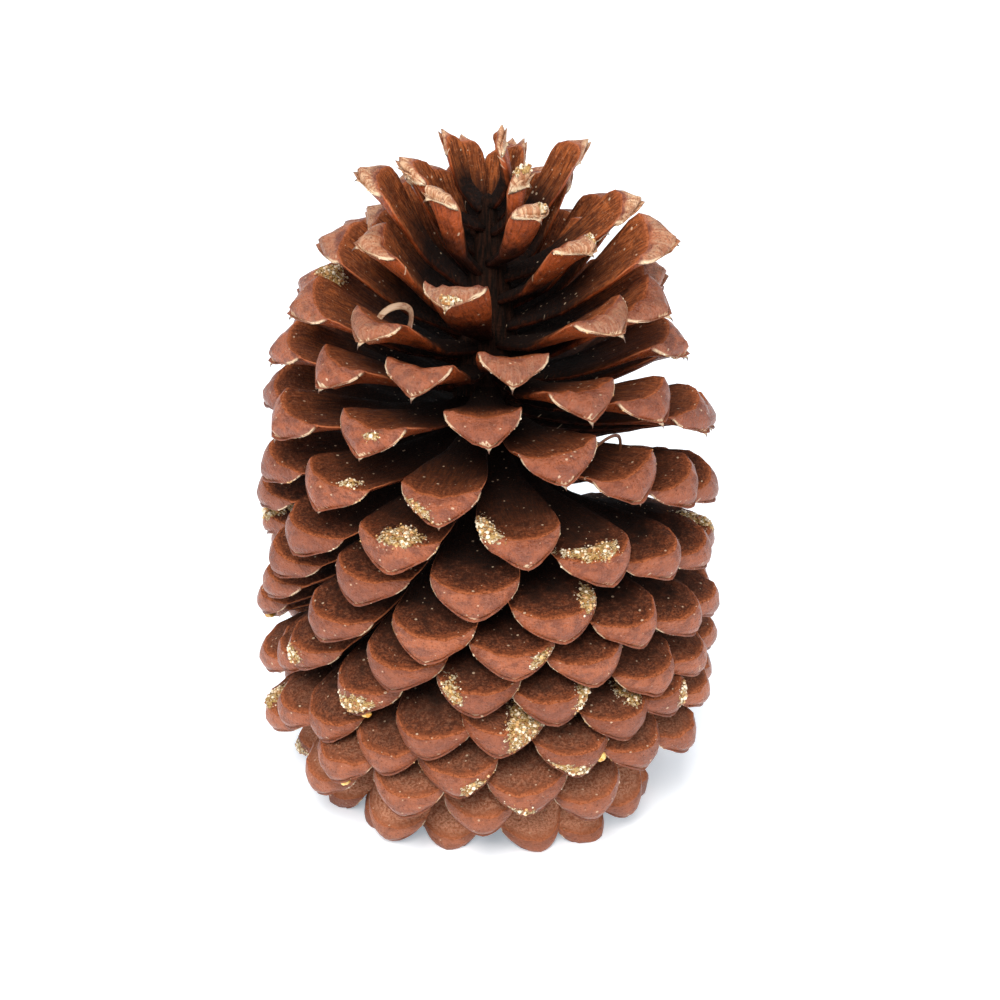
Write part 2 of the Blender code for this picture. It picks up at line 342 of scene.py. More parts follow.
# %% [markdown]
# One scale could be modelled by hand and copied, but every scale of a cone has its own
# width, droop and shield. So Geometry Nodes instance a plain closed cylinder on one point
# for each scale, and then move each of its vertices by a formula: the rings run from the
# root in the axis along the blade, over the keel, down the shield, and out into the prickle.


# %% A new node tree with named inputs
def new_tree(name, numbers):
    """A geometry tree with its input geometry, its named numbers as wires, and its end."""
    tree = bpy.data.node_groups.new(name, "GeometryNodeTree")
    tree.interface.new_socket("Geometry", in_out="INPUT", socket_type="NodeSocketGeometry")
    for title, value in numbers.items():
        kind = "NodeSocketInt" if isinstance(value, int) else "NodeSocketFloat"
        tree.interface.new_socket(title, in_out="INPUT", socket_type=kind).default_value = value
    tree.interface.new_socket("Geometry", in_out="OUTPUT", socket_type="NodeSocketGeometry")
    source = tree.nodes.new("NodeGroupInput")
    end = tree.nodes.new("NodeGroupOutput")
    size = {socket.name: Wire(tree, socket) for socket in source.outputs if socket.name in numbers}
    return tree, source.outputs["Geometry"], size, end


def follow(tree, kind, geometry, **values):
    """Adds a geometry node after a geometry socket and gives back the node."""
    node = tree.nodes.new(kind)
    slot = next(socket for socket in node.inputs if socket.type == "GEOMETRY")
    tree.links.new(geometry, slot)
    for title, value in values.items():
        plug(tree, value, node.inputs[title.replace("_", " ")])
    return node


def keep(tree, geometry, name, value, kind="FLOAT"):
    """Stores a number or a vector on every point under a name."""
    node = tree.nodes.new("GeometryNodeStoreNamedAttribute")
    node.data_type = kind
    node.domain = "POINT"
    tree.links.new(geometry, node.inputs["Geometry"])
    node.inputs["Name"].default_value = name
    plug(tree, value, node.inputs["Value"])
    return node.outputs["Geometry"]


def kept(tree, name, kind="FLOAT"):
    """Reads a number or a vector that is stored on every point."""
    node = tree.nodes.new("GeometryNodeInputNamedAttribute")
    node.data_type = kind
    node.inputs["Name"].default_value = name
    return Wire(tree, node.outputs["Attribute"])


def finish_tree(tree, geometry, end, material):
    """Realizes what is instanced, shades it smooth and gives it its material."""
    real = follow(tree, "GeometryNodeRealizeInstances", geometry)
    smooth = follow(tree, "GeometryNodeSetShadeSmooth", real.outputs[0])
    painted = follow(tree, "GeometryNodeSetMaterial", smooth.outputs[0], Material=material)
    tree.links.new(painted.outputs[0], end.inputs[0])
    return painted


print("tree helpers ready")

# %% [markdown]
# The shape of one scale, as a formula. Side runs from -1 to 1 across the scale and skin
# from -1 under it to 1 on top, and the ring number gives the station along it. Up to the
# keel the section is a thin blade whose underside swells into the shield, then the rings
# shrink towards the umbo, the low boss at the foot of the shield, and leave it as a prickle.

# %% The tree that grows the scales
RINGS = 22
KEEL_RING = 13
UMBO_RING = 18
AROUND = 28
SCALE_SIZES = {
    "Blade Thickness": 2.8,
    "Rim Thickness": 1.5,
    "Root Half Width": 2.4,
    "Root Half Thickness": 1.3,
    "Sag": 2.0,
    "Neck Station": 0.42,
    "Shield Foot": 0.93,
    "Keel Round": 0.7,
    "Shield Bulge": 1.7,
    "Shield Ridge": 1.7,
    "Crust Thickness": 0.7,
    "Umbo Radius": 0.6,
    "Unevenness": 1.0,
    "Ribs": 0.9,
    "Raggedness": 1.3,
}


def grow_scales_tree(matt, satin):
    tree, points, size, end = new_tree("grow_scales", SCALE_SIZES)
    row = {name: kept(tree, name) for name in rows[0]}

    blank = tree.nodes.new("GeometryNodeMeshCylinder")
    blank.fill_type = "TRIANGLE_FAN"
    blank.inputs["Vertices"].default_value = AROUND
    blank.inputs["Side Segments"].default_value = RINGS
    blank.inputs["Radius"].default_value = 1.0
    blank.inputs["Depth"].default_value = 1.0
    position = tree.nodes.new("GeometryNodeInputPosition")
    marked = keep(tree, blank.outputs["Mesh"], "blank", position.outputs[0], "FLOAT_VECTOR")
    placed = tree.nodes.new("GeometryNodeInstanceOnPoints")
    tree.links.new(points, placed.inputs["Points"])
    tree.links.new(marked, placed.inputs["Instance"])
    real = follow(tree, "GeometryNodeRealizeInstances", placed.outputs[0])

    side, skin, level = apart(tree, kept(tree, "blank", "FLOAT_VECTOR").socket)
    ring = (level + 0.5) * RINGS
    blade = 1.0 - (1.0 - (ring / KEEL_RING).clamped()) ** 1.4
    shield = ((ring - KEEL_RING) / (UMBO_RING - KEEL_RING)).clamped()
    spike = ((ring - UMBO_RING) / (RINGS - UMBO_RING)).clamped()
    off_middle = abs(side)

    inner = (blade / size["Neck Station"]).clamped()
    outer = ((blade - size["Neck Station"]) / (1.0 - size["Neck Station"])).clamped()
    neck = row["neck_share"] * row["half_width"]
    spread = (outer * (math.pi / 2)).sine()
    half = size["Root Half Width"].towards(neck, inner) + (row["half_width"] - neck) * spread
    across = side * half + row["lean"] * (1.0 - side * side) * blade ** 3.0

    rise = row["lift"] * outer ** 0.7
    top = rise * off_middle ** 1.6 + size["Root Half Thickness"] * (1.0 - inner)
    top = top - row["keel_sink"] * (1.0 - side * side) * outer ** 3.0
    top = top - size["Keel Round"] * blade.between(0.94, 1.0)
    edge_depth = size["Blade Thickness"].towards(size["Rim Thickness"], outer)
    edge = rise - edge_depth * (0.5 + 0.5 * inner)
    swell = size["Shield Foot"] * row["drop"] - size["Blade Thickness"]
    belly = -1.0 * (size["Blade Thickness"] * (0.5 + 0.5 * inner) + swell * outer ** 3.0)
    under = edge + (belly - edge) * (1.0 - off_middle ** 1.6)
    bend = skin.sign() * abs(skin) ** 0.4
    up = (top + under) * 0.5 + (top - under) * 0.5 * bend
    corner = (off_middle ** 2.4).towards(1.0 - abs(skin), row["fresh"])
    back = row["keel_setback"] * (1.0 - corner) + row["setback"] * corner
    run = row["length"] * blade - back * blade * blade

    closing = shield ** 1.4 * 0.93
    across = across + closing ** 2.4 * (row["lean"] - across)
    up = up + closing * (-1.0 * row["drop"] - up)
    run = run + closing * (row["length"] + row["umbo_reach"] - run)
    belly_out = 4.0 * closing * (1.0 - closing)
    run = run + size["Shield Bulge"] * belly_out * (1.0 - side * side)
    run = run + size["Shield Ridge"] * belly_out * (1.0 - off_middle) ** 3.0 * (row["fresh"] + 0.2)

    turn = 0.5 + spike * 1.5
    out = (turn.sine() - math.sin(0.5)) / 1.5
    down = (turn.cosine() - math.cos(0.5)) / 1.5
    thin = size["Umbo Radius"] * (1.0 - spike) ** 1.5 + 0.04
    spike_across = row["lean"] + thin * side
    spike_run = row["length"] + row["umbo_reach"] + row["prickle"] * out + thin * skin * turn.sine()
    spike_up = row["prickle"] * down - row["drop"] + thin * skin * turn.cosine()
    is_spike = (spike * 4.0).clamped()
    across = across.towards(spike_across, is_spike)
    up = up.towards(spike_up, is_spike)
    run = run.towards(spike_run, is_spike)

    grain = together(tree, across, run - up, row["number"] * 9.7)
    wave = noise(tree, together(tree, across * 0.22, run * 0.12, row["number"] * 5.3), 1.0, 2.0)
    chew = noise(tree, together(tree, across * 0.7, run * 0.5, row["number"] * 3.1), 1.0, 3.0)
    near_keel = 1.0 - abs(blade + shield - 1.0).between(0.02, 0.3)
    run = run + (chew - 0.5) * size["Raggedness"] * row["ragged"] * near_keel * 2.0
    ribs = noise(tree, together(tree, across * 0.5, run * 0.05, row["number"] * 7.7), 1.0, 1.0)
    up = up + (wave - 0.5) * size["Unevenness"] * 2.0 * outer * (1.0 - spike)
    up = up + (ribs - 0.5) * size["Ribs"] * 2.0 * outer * skin.between(-0.2, 0.3) * (1.0 - shield)

    crust_across = (side - row["crust_side"]) / row["crust_across"]
    crust_along = (blade + shield - row["crust_station"]) / row["crust_along"]
    far = (crust_across * crust_across + crust_along * crust_along) ** 0.5
    crust = (1.0 - far.between(0.4, 1.2)) * skin.between(-0.4, 0.0)
    heap = crust.between(0.3, 0.8) * chew * 2.0 * size["Crust Thickness"]
    up = up + heap * (1.0 - shield * 0.5)
    run = run + heap * shield

    share = (run / row["length"]).clamped()
    roll = row["roll"] * share
    level_across = across * roll.cosine() - up * roll.sine()
    above = up + across * roll.sine() + row["drop"] * share - 4.0 * size["Sag"] * share * (1.0 - share)
    slope_cos = row["slope"].cosine()
    slope_sin = row["slope"].sine()
    radius = row["root_radius"] + run * slope_cos - above * slope_sin
    height = row["root_height"] + run * slope_sin + above * slope_cos
    x = radius * row["azimuth"].sine() + level_across * row["azimuth"].cosine()
    y = level_across * row["azimuth"].sine() - radius * row["azimuth"].cosine()
    place = together(tree, x * MM, y * MM, height.at_least(0.0) * MM)

    shape = keep(tree, real.outputs[0], "crust", crust)
    shape = keep(tree, shape, "grain", grain, "FLOAT_VECTOR")
    shape = keep(tree, shape, "place", together(tree, side, skin, blade + shield + spike), "FLOAT_VECTOR")
    moved = follow(tree, "GeometryNodeSetPosition", shape, Position=place)
    painted = finish_tree(tree, moved.outputs[0], end, matt)
    is_satin = (blade + shield - 1.0).at_least(skin * -1.0 - 0.1)
    shone = follow(tree, "GeometryNodeSetMaterial", painted.outputs[0], Selection=is_satin, Material=satin)
    tree.links.new(shone.outputs[0], end.inputs[0])
    return tree


def points_object(name, chosen):
    """One point for each chosen scale, which carries the scale's values."""
    mesh = bpy.data.meshes.new(name)
    mesh.from_pydata([(0.0, 0.0, 0.0)] * len(chosen), [], [])
    for title in chosen[0]:
        attribute = mesh.attributes.new(title, "FLOAT", "POINT")
        attribute.data.foreach_set("value", [float(row[title]) for row in chosen])
    return in_scene(name, mesh)


def made_by(tree, thing, sizes):
    """Runs a node tree on an object, keeps its result as a plain mesh and drops the modifier."""
    modifier = thing.modifiers.new(tree.name, "NODES")
    modifier.node_group = tree
    for socket in tree.interface.items_tree:
        if socket.in_out == "INPUT" and socket.name in sizes:
            modifier[socket.identifier] = sizes[socket.name]
    bpy.context.view_layer.update()
    evaluated = thing.evaluated_get(bpy.context.evaluated_depsgraph_get())
    mesh = bpy.data.meshes.new_from_object(evaluated)
    thing.modifiers.clear()
    thing.data = mesh
    mesh.name = thing.name
    return thing


print("a scale has", AROUND * RINGS * 2 + 2 * AROUND, "triangles")

# %% [markdown]
# Materials mix colours by masks. A group that more than one finish uses, such as the
# lengthwise wood grain and the pale dust, is built once with named inputs and outputs.


# %% Helpers for the materials
def new_material(name):
    material = bpy.data.materials.new(name)
    material.use_nodes = True
    return material, material.node_tree, material.node_tree.nodes["Principled BSDF"]


def stored(tree, name, output="Fac"):
    """A number, or with the output called Vector a vector, that is stored on the mesh."""
    node = tree.nodes.new("ShaderNodeAttribute")
    node.attribute_name = name
    return Wire(tree, node.outputs[output])


def own_place(tree):
    """The surface point in the object's own metres."""
    return tree.nodes.new("ShaderNodeTexCoord").outputs["Object"]


def own_millimetres(tree):
    """The three numbers of the surface point, in millimetres."""
    return [value * 1000.0 for value in apart(tree, own_place(tree))]


def finish_paint(tree, shader, paint, rough, normal):
    """Feeds the three inputs of a shader that change over the surface."""
    plug(tree, paint, shader.inputs["Base Color"])
    plug(tree, rough, shader.inputs["Roughness"])
    plug(tree, normal, shader.inputs["Normal"])


def blend(tree, share, first, second):
    """A colour socket between two colours."""
    node = tree.nodes.new("ShaderNodeMix")
    node.data_type = "RGBA"
    node.clamp_factor = True
    plug(tree, share, node.inputs["Factor"])
    plug(tree, first, node.inputs["A"] if node.inputs["A"].type == "RGBA" else node.inputs[6])
    plug(tree, second, node.inputs["B"] if node.inputs["B"].type == "RGBA" else node.inputs[7])
    return next(socket for socket in node.outputs if socket.type == "RGBA")


def bump(tree, height, strength, distance):
    node = tree.nodes.new("ShaderNodeBump")
    node.inputs["Strength"].default_value = strength
    node.inputs["Distance"].default_value = distance
    plug(tree, height, node.inputs["Height"])
    return node.outputs["Normal"]


def shader_group(name, inputs, outputs):
    """An empty shader group with named number or vector inputs and number outputs."""
    group = bpy.data.node_groups.new(name, "ShaderNodeTree")
    for title, value in inputs.items():
        kind = "NodeSocketVector" if value is None else "NodeSocketFloat"
        socket = group.interface.new_socket(title, in_out="INPUT", socket_type=kind)
        if value is not None:
            socket.default_value = value
    for title in outputs:
        group.interface.new_socket(title, in_out="OUTPUT", socket_type="NodeSocketFloat")
    return group, group.nodes.new("NodeGroupInput"), group.nodes.new("NodeGroupOutput")


def use_group(tree, group, **values):
    """Places a group in a material, with its inputs, and gives back its outputs by name."""
    node = tree.nodes.new("ShaderNodeGroup")
    node.node_tree = group
    for title, value in values.items():
        plug(tree, value, node.inputs[title])
    return {socket.name: Wire(tree, socket) for socket in node.outputs}


print("material helpers ready")


# %% Shared effects: wood grain and pale flecks
def wood_grain_group():
    """Fibres that run lengthwise, soft cloudy patches and grit; the vector is in millimetres."""
    outputs = ("Fibre", "Cloud", "Grit", "Patch")
    group, source, end = shader_group("wood_grain", {"Vector": None, "Fineness": 1.0}, outputs)
    vector = source.outputs["Vector"]
    x, y, z = apart(group, vector)
    fineness = Wire(group, source.outputs["Fineness"])
    fibre = noise(group, together(group, x * 2.0, y * 0.22, z), fineness, 4.0, 0.6)
    cloud = noise(group, vector, 0.3, 3.0)
    grit = noise(group, vector, 1.5, 3.0, 0.75)
    patch = noise(group, together(group, x, y, z + 40.0), 0.75, 2.0)
    for title, wire in zip(outputs, (fibre, cloud, grit, patch)):
        plug(group, wire, end.inputs[title])
    return group


def flecks_group():
    """Small pale flecks of many sizes, most of them too small to see at the given amount."""
    inputs = {"Vector": None, "Amount": 0.5, "Size": 1.0}
    group, source, end = shader_group("pale_flecks", inputs, ("Flecks",))
    cells = group.nodes.new("ShaderNodeTexVoronoi")
    plug(group, source.outputs["Vector"], cells.inputs["Vector"])
    plug(group, source.outputs["Size"], cells.inputs["Scale"])
    distance = Wire(group, cells.outputs["Distance"])
    pick = apart(group, cells.outputs["Color"])[0]
    reach = Wire(group, source.outputs["Amount"]) * pick ** 6.0 - 0.05
    plug(group, 1.0 - (distance - reach).between(-0.05, 0.05), end.inputs["Flecks"])
    return group


wood_grain = wood_grain_group()
pale_flecks = flecks_group()
print("groups:", wood_grain.name, pale_flecks.name)

# %% [markdown]
# The wood of a scale changes from part to part. The upper face is dark and matt, and painted
# shade makes it nearly black towards the axis. A rusty band and a dark line run along the keel,
# whose lighter red-orange edge carries a painted highlight. The shield is terracotta with a
# painted bluish reflection in patches, a painted highlight near its top and painted shade lower
# down. The underside is a glossy orange brown that darkens towards the axis, partly by its own
# colour and partly by painted shade, and the umbo with its prickle is straw pale. The mesh
# stores where each point lies on its scale, so masks can find each part.


# %% The wood of the scales
def upper_face(tree, masks, station, fresh, pale):
    """Dark gritty brown with painted shade that turns it nearly black towards the axis, lighter on the
    youngest scales at the tip and the oldest at the base.
    """
    fibre, cloud, grit, patch = masks
    wander = (cloud - 0.5) * 0.3 + (patch - 0.5) * 0.1
    # Painted shade: the upper face darkens to near black towards the axis, where the scale above shades it.
    out_of_painted_shade = (station + wander).between(0.74, 1.02)
    paint = blend(tree, out_of_painted_shade, (0.008, 0.004, 0.003), (0.088, 0.022, 0.009))
    russet = patch.between(0.42, 0.66) * out_of_painted_shade * out_of_painted_shade * 0.8
    paint = blend(tree, russet, paint, (0.175, 0.044, 0.016))
    paint = blend(tree, grit.between(0.52, 0.62) * out_of_painted_shade * 0.5, paint, (0.250, 0.100, 0.052))
    paint = blend(tree, (1.0 - grit.between(0.38, 0.49)) * 0.8, paint, (0.030, 0.009, 0.004))
    brown = blend(tree, fibre.between(0.40, 0.62), (0.130, 0.030, 0.009), (0.420, 0.112, 0.030))
    brown = blend(tree, cloud.between(0.48, 0.66) * 0.7, brown, (0.100, 0.026, 0.009))
    brown = blend(tree, grit.between(0.54, 0.64) * 0.4, brown, (0.42, 0.19, 0.10))
    paint = blend(tree, fresh * (station + wander).between(0.4, 0.9) * 0.9, paint, brown)
    dusty = blend(tree, grit.between(0.4, 0.6), (0.440, 0.140, 0.066), (0.74, 0.350, 0.210))
    paint = blend(tree, pale ** 4.0 * 0.95 * (station + wander).between(0.6, 0.92), paint, dusty)
    rust = (station + (grit - 0.5) * 0.12 + (patch - 0.5) * 0.06).between(0.94, 0.995)
    return blend(tree, rust * 0.7, paint, (0.260, 0.066, 0.022))


def shield_face(tree, masks, skin, station, fresh, pale, tone):
    """Terracotta with faint brush marks, a painted bluish reflection in patches, a painted highlight near
    the top and painted shade lower down and underneath.
    """
    fibre, cloud, grit, patch = masks
    paint = blend(tree, cloud.between(0.38, 0.6), (0.150, 0.027, 0.007), (0.35, 0.079, 0.020))
    # Painted reflection: bluish-pink patches stand in for light mirrored by the shield.
    painted_reflection = patch.between(0.46, 0.68) * (1.0 - abs(station - 1.25).between(0.1, 0.4))
    paint = blend(tree, painted_reflection * 0.45, paint, (0.36, 0.115, 0.060))
    paint = blend(tree, fibre.between(0.5, 0.66) * 0.35, paint, (0.120, 0.026, 0.009))
    # Painted shade on the parts of the shield that face downwards.
    paint = blend(tree, (1.0 - skin.between(-0.3, 0.6)) * 0.35, paint, (0.150, 0.032, 0.012))
    paint = blend(tree, grit.between(0.56, 0.66) * 0.5, paint, (0.52, 0.220, 0.125))
    # Painted shade towards the foot of the shield.
    paint = blend(tree, station.between(1.3, 1.9) * 0.4, paint, (0.26, 0.058, 0.019))
    # Painted highlight: the top of the shield near the keel is lightened.
    sheen = (1.0 - station.between(1.05, 1.45)) * cloud.between(0.42, 0.58)
    paint = blend(tree, sheen * 0.4, paint, (0.46, 0.150, 0.070))
    paint = blend(tree, pale * 0.4, paint, (0.46, 0.150, 0.060))
    paint = blend(tree, (tone * 0.5 + 0.5) * 0.6, paint, (0.17, 0.038, 0.013))
    tan = blend(tree, fibre.between(0.42, 0.6), (0.40, 0.165, 0.070), (0.70, 0.44, 0.26))
    paint = blend(tree, fresh ** 6.0 * (station + (cloud - 0.5) * 0.6).between(1.05, 1.35) * 0.9, paint, tan)
    return blend(tree, (1.0 - grit.between(0.36, 0.46)) * 0.6, paint, (0.13, 0.032, 0.014))


def scale_material(name, specular, keel_gloss):
    """The whole scale's paint; the parts differ in how much light their surface mirrors."""
    material, tree, shader = new_material(name)
    skin, station = apart(tree, stored(tree, "place", "Vector").socket)[1:]
    grain = stored(tree, "grain", "Vector")
    tone, fresh, pale, crust = (stored(tree, title) for title in ("tone", "fresh", "pale", "crust"))
    masks = tuple(use_group(tree, wood_grain, Vector=grain, Fineness=1.0).values())
    fibre, cloud, grit, patch = masks
    on_top = skin.between(-0.05, 0.1)
    on_shield = (station + (patch - 0.5) * 0.04).between(0.975, 1.06)

    # The underside darkens towards the axis: partly its own darker wood and partly painted shade.
    inward = (station + (cloud - 0.5) * 0.8).between(0.35, 0.85) * (fresh * 0.75 + 0.25)
    lower = blend(tree, inward, (0.022, 0.006, 0.003), (0.39, 0.074, 0.016))
    lower = blend(tree, fibre.between(0.45, 0.62) * 0.6, lower, (0.08, 0.015, 0.005))
    paint = blend(tree, on_top, lower, upper_face(tree, masks, station, fresh, pale))
    paint = blend(tree, on_shield, paint, shield_face(tree, masks, skin, station, fresh, pale, tone))

    behind_keel = station - 0.968 - (cloud - 0.5) * 0.08
    dark_line = (1.0 - abs(behind_keel).between(0.001, 0.007)) * on_top * (1.0 - fresh) * (1.0 - pale * pale)
    paint = blend(tree, dark_line * grit.between(0.40, 0.54) * 0.6, paint, (0.035, 0.011, 0.005))
    # The keel edge and the blade's rims are a lighter red-orange, brightened further as a painted highlight.
    keel_line = (1.0 - abs(station - 0.995).between(0.003, 0.016)) * on_top
    rim = (1.0 - abs(skin - 0.03).between(0.03, 0.12)) * station.between(0.7, 0.95) * (1.0 - on_shield)
    edge_colour_and_highlight = (keel_line * grit.between(0.44, 0.54) * 0.5 + rim * 0.9).clamped()
    paint = blend(tree, edge_colour_and_highlight, paint, (0.54, 0.165, 0.065))

    flecks = use_group(tree, pale_flecks, Vector=grain, Amount=0.32, Size=0.7)["Flecks"]
    paint = blend(tree, flecks * 0.7, paint, (0.68, 0.50, 0.34))

    reach = 0.22 + fresh * 0.24 + station.between(1.3, 1.95) * 0.14
    outline = (1.0 - (abs(skin) / reach).between(0.6, 1.0)) * station.between(1.08, 1.3)
    outline = outline * (patch + pale * 0.10 + fresh * 0.18).between(0.42, 0.48)
    foot = (station + (patch - 0.5) * 0.5).between(1.86, 1.94) * grit.between(0.46, 0.54)
    umbo = station.between(1.95, 2.0)
    straw = (outline + foot + umbo).clamped() * (1.0 - station.between(2.3, 2.7))
    paint = blend(tree, straw * 0.9, paint, (0.76, 0.57, 0.37))
    paint = blend(tree, station.between(2.2, 2.6) * (fresh + 0.3).clamped(), paint, (0.10, 0.05, 0.03))

    crumbs = (crust + (patch - 0.5) * 1.6 + (grit - 0.5) * 0.8).between(0.45, 0.55)
    resin = blend(tree, grit.between(0.40, 0.5), (0.16, 0.06, 0.015), (0.62, 0.38, 0.13))
    resin = blend(tree, patch.between(0.48, 0.62) * grit.between(0.46, 0.52), resin, (0.84, 0.72, 0.50))
    paint = blend(tree, crumbs, paint, resin)

    rough = (tone * 0.03 + 0.75).towards(keel_gloss, (on_shield + (1.0 - on_top)).clamped())
    rough = (rough + (grit - 0.5) * 0.3).towards(0.25, crumbs)
    relief = fibre * 0.6 + grit * 0.7 + patch * 0.7 + crumbs * (grit * 2.0 + 0.4)
    finish_paint(tree, shader, paint, rough, bump(tree, relief, 0.8, 0.0010))
    shader.inputs["Specular IOR Level"].default_value = specular
    return material


matt_wood = scale_material("scale_wood", 0.1, 0.5)
satin_wood = scale_material("shield_wood", 0.5, 0.31)
print("materials", matt_wood.name, "and", satin_wood.name)

# %% Grow the three bands of scales
BANDS = {"scales_upper": (0, 65), "scales_middle": (65, 130), "scales_lower": (130, SCALE_COUNT)}
KEPT_ATTRIBUTES = ("position", "place", "grain", "tone", "pale", "fresh", "crust", "number")

scale_tree = grow_scales_tree(matt_wood, satin_wood)
scale_pieces = []
for name, (first, last) in BANDS.items():
    chosen = [row for row in rows if first <= row["number"] < last]
    piece = made_by(scale_tree, points_object(name, chosen), SCALE_SIZES)
    for title in [attribute.name for attribute in piece.data.attributes]:
        if title in rows[0] and title not in KEPT_ATTRIBUTES or title == "blank":
            piece.data.attributes.remove(piece.data.attributes[title])
    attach(piece, "root")
    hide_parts("cone")
    scale_pieces.append(piece)
    triangles = sum(len(face.vertices) - 2 for face in piece.data.polygons)
    print(name, len(chosen), "scales,", triangles, "triangles")

# %% [markdown]
# Dried resin clings to the scales as crusts of small brittle grains, and as pale crumbs along
# the lower edges of the shields. Geometry Nodes scatter the grains: the mask that the scales
# carry says how many fall on each face, and a fixed seed keeps them the same every time.

# %% Resin crumbs
CRUMB_SIZES = {
    "Crust Density": 2.2,
    "Edge Density": 6.0,
    "Smallest": 0.10,
    "Largest": 0.70,
    "Seed": 7,
}


def resin_material():
    material, tree, shader = new_material("dried_resin")
    pick = stored(tree, "pick")
    paint = blend(tree, pick.between(0.2, 0.5), (0.30, 0.12, 0.03), (0.66, 0.40, 0.16))
    paint = blend(tree, pick.between(0.5, 0.7), paint, (0.86, 0.74, 0.56))
    grit = noise(tree, own_place(tree), 2500.0, 2.0)
    finish_paint(tree, shader, paint, grit * 0.3 + 0.2, bump(tree, grit, 0.3, 0.0002))
    return material


def random_value(tree, low, high, seed, kind="FLOAT"):
    """A node of random numbers or vectors, and its output of the right kind."""
    node = tree.nodes.new("FunctionNodeRandomValue")
    node.data_type = kind
    sockets = [socket for socket in node.inputs if socket.enabled]
    plug(tree, low, sockets[0])
    plug(tree, high, sockets[1])
    plug(tree, seed, node.inputs["Seed"])
    return next(socket for socket in node.outputs if socket.enabled)


def scatter_crumbs_tree(material):
    tree, ground, size, end = new_tree("scatter_resin", CRUMB_SIZES)
    skin, station = apart(tree, kept(tree, "place", "FLOAT_VECTOR").socket)[1:]
    chunks = noise(tree, kept(tree, "grain", "FLOAT_VECTOR"), 0.55, 2.0)
    low_edge = (1.0 - abs(skin + 0.02).between(0.05, 0.25)) * station.between(1.1, 1.5)
    low_edge = low_edge * (1.0 - station.between(1.95, 2.0))
    edge = low_edge * (chunks + kept(tree, "pale") * 0.13).between(0.47, 0.57)
    crusted = kept(tree, "crust")
    crust = (crusted + (chunks - 0.5) * 2.0).between(0.4, 0.7) * crusted.between(0.0, 0.2)
    height = apart(tree, tree.nodes.new("GeometryNodeInputPosition").outputs[0])[2]
    clear = height.between(0.8 * MM, 1.2 * MM)
    density = (crust * size["Crust Density"] + edge * size["Edge Density"]) * clear * 1.0e6
    scatter = tree.nodes.new("GeometryNodeDistributePointsOnFaces")
    tree.links.new(ground, scatter.inputs["Mesh"])
    plug(tree, density, scatter.inputs["Density"])
    plug(tree, size["Seed"], scatter.inputs["Seed"])
    marked = keep(tree, scatter.outputs["Points"], "pick", random_value(tree, 0.0, 1.0, size["Seed"] + 1.0))
    grain_of_resin = tree.nodes.new("GeometryNodeMeshIcoSphere")
    grain_of_resin.inputs["Radius"].default_value = MM
    grain_of_resin.inputs["Subdivisions"].default_value = 1
    placed = tree.nodes.new("GeometryNodeInstanceOnPoints")
    tree.links.new(marked, placed.inputs["Points"])
    tree.links.new(grain_of_resin.outputs["Mesh"], placed.inputs["Instance"])
    turn = random_value(tree, (0.0, 0.0, 0.0), (6.3, 6.3, 6.3), size["Seed"] + 2.0, "FLOAT_VECTOR")
    plug(tree, turn, placed.inputs["Rotation"])
    chance = Wire(tree, random_value(tree, 0.0, 1.0, size["Seed"] + 3.0))
    lump = (crusted * 0.65 + 0.35) * chance ** 3.0
    plug(tree, size["Smallest"].towards(size["Largest"], lump), placed.inputs["Scale"])
    real = follow(tree, "GeometryNodeRealizeInstances", placed.outputs[0])
    painted = follow(tree, "GeometryNodeSetMaterial", real.outputs[0], Material=material)
    tree.links.new(painted.outputs[0], end.inputs[0])
    return tree


def joined_copy(name, pieces):
    """One object with copies of the pieces' meshes, as the ground that something is scattered on."""
    bpy.ops.object.select_all(action="DESELECT")
    copies = []
    for piece in pieces:
        copy = piece.copy()
        copy.data = piece.data.copy()
        bpy.context.scene.collection.objects.link(copy)
        copy.select_set(True)
        copies.append(copy)
    bpy.context.view_layer.objects.active = copies[0]
    bpy.ops.object.join()
    copies[0].name = name
    for key in list(copies[0].keys()):
        del copies[0][key]
    return copies[0]


crumb_tree = scatter_crumbs_tree(resin_material())
crumbs = made_by(crumb_tree, joined_copy("resin_crumbs", scale_pieces), CRUMB_SIZES)
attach(crumbs, "root")
print("resin crumbs:", len(crumbs.data.polygons) // 20)

# %% [markdown]
# Where resin ran down a shield it dried as an amber drop at its lower edge. Each drop is a
# ball that a noise presses out of round.

# %% Resin drops
DROP_SIZES = {"Unevenness": 0.5, "Squash": 0.75}
DROP_AHEAD = 0.5


def amber_material():
    material, tree, shader = new_material("amber_resin")
    cloudy = noise(tree, own_place(tree), 900.0, 2.0)
    paint = blend(tree, cloudy.between(0.35, 0.65), (0.66, 0.30, 0.035), (0.85, 0.58, 0.20))
    finish_paint(tree, shader, paint, cloudy * 0.3 + 0.1, bump(tree, cloudy, 0.3, 0.0004))
    return material


